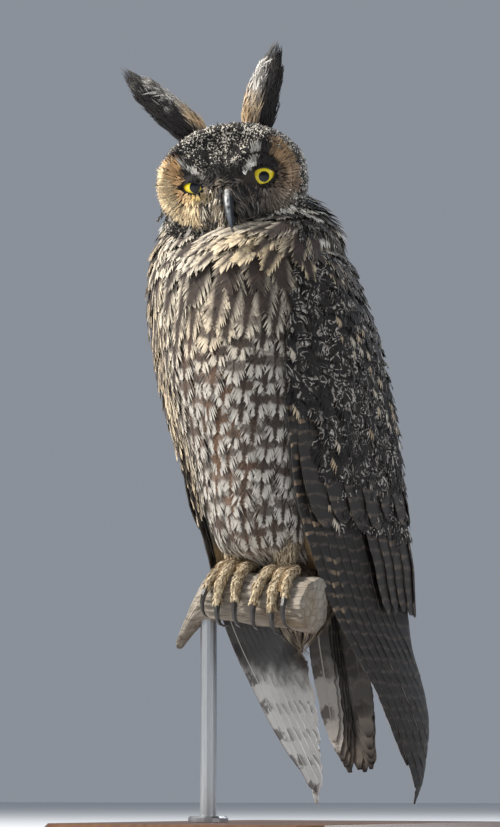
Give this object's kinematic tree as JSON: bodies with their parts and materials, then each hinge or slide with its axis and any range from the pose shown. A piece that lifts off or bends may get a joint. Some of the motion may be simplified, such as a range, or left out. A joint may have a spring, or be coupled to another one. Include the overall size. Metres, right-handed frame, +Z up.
{
  "type": "long-eared owl",
  "caption": "Life-size owl with raised ear tufts, perched upright on a short length of branch with its head turned, held by a plain display stand.",
  "frame": {"origin": "middle of the underside of the display base, on the floor", "axes": "+Z up; the body faces -Y and its left side is +X; the head is turned 25 degrees to its left"},
  "size_m": [0.176, 0.216, 0.4193],
  "materials": {
    "head_plumage": "matt plumage: orange-buff discs, black and white speckled crown and rim",
    "breast_plumage": "matt plumage: buff and white with dark brown streaks and cross bars",
    "tuft_feathers": "matt black-brown feathers with buff and white edges",
    "wing_feathers": "dark brown feathers with fine pale wavy lines and buff spots",
    "tail_feathers": "grey-buff feathers with brown bars",
    "leg_plumage": "short buff feathers",
    "bill_horn": "smooth blue-grey horn",
    "claw_horn": "smooth black horn",
    "eye": "wet gloss, yellow iris with a black pupil",
    "bark": "rough grey-brown bark",
    "base_wood": "satin dark wood",
    "rod_steel": "brushed"
  },
  "bodies": {
    "root": {"head": "head_plumage", "neck": "breast_plumage", "torso": "breast_plumage", "bill_upper": "bill_horn", "bill_lower": "bill_horn", "eye_left": "eye", "eye_right": "eye", "ear_tuft_left": "tuft_feathers", "ear_tuft_right": "tuft_feathers", "wing_left": "wing_feathers", "wing_right": "wing_feathers", "tail": "tail_feathers", "leg_left": "leg_plumage", "leg_right": "leg_plumage", "foot_left": "leg_plumage", "foot_right": "leg_plumage", "claw_left_inner": "claw_horn", "claw_left_middle": "claw_horn", "claw_left_outer": "claw_horn", "claw_left_hind": "claw_horn", "claw_right_inner": "claw_horn", "claw_right_middle": "claw_horn", "claw_right_outer": "claw_horn", "claw_right_hind": "claw_horn", "perch": "bark", "stand_base": "base_wood", "stand_rod": "rod_steel"}
  },
  "joints": []
}
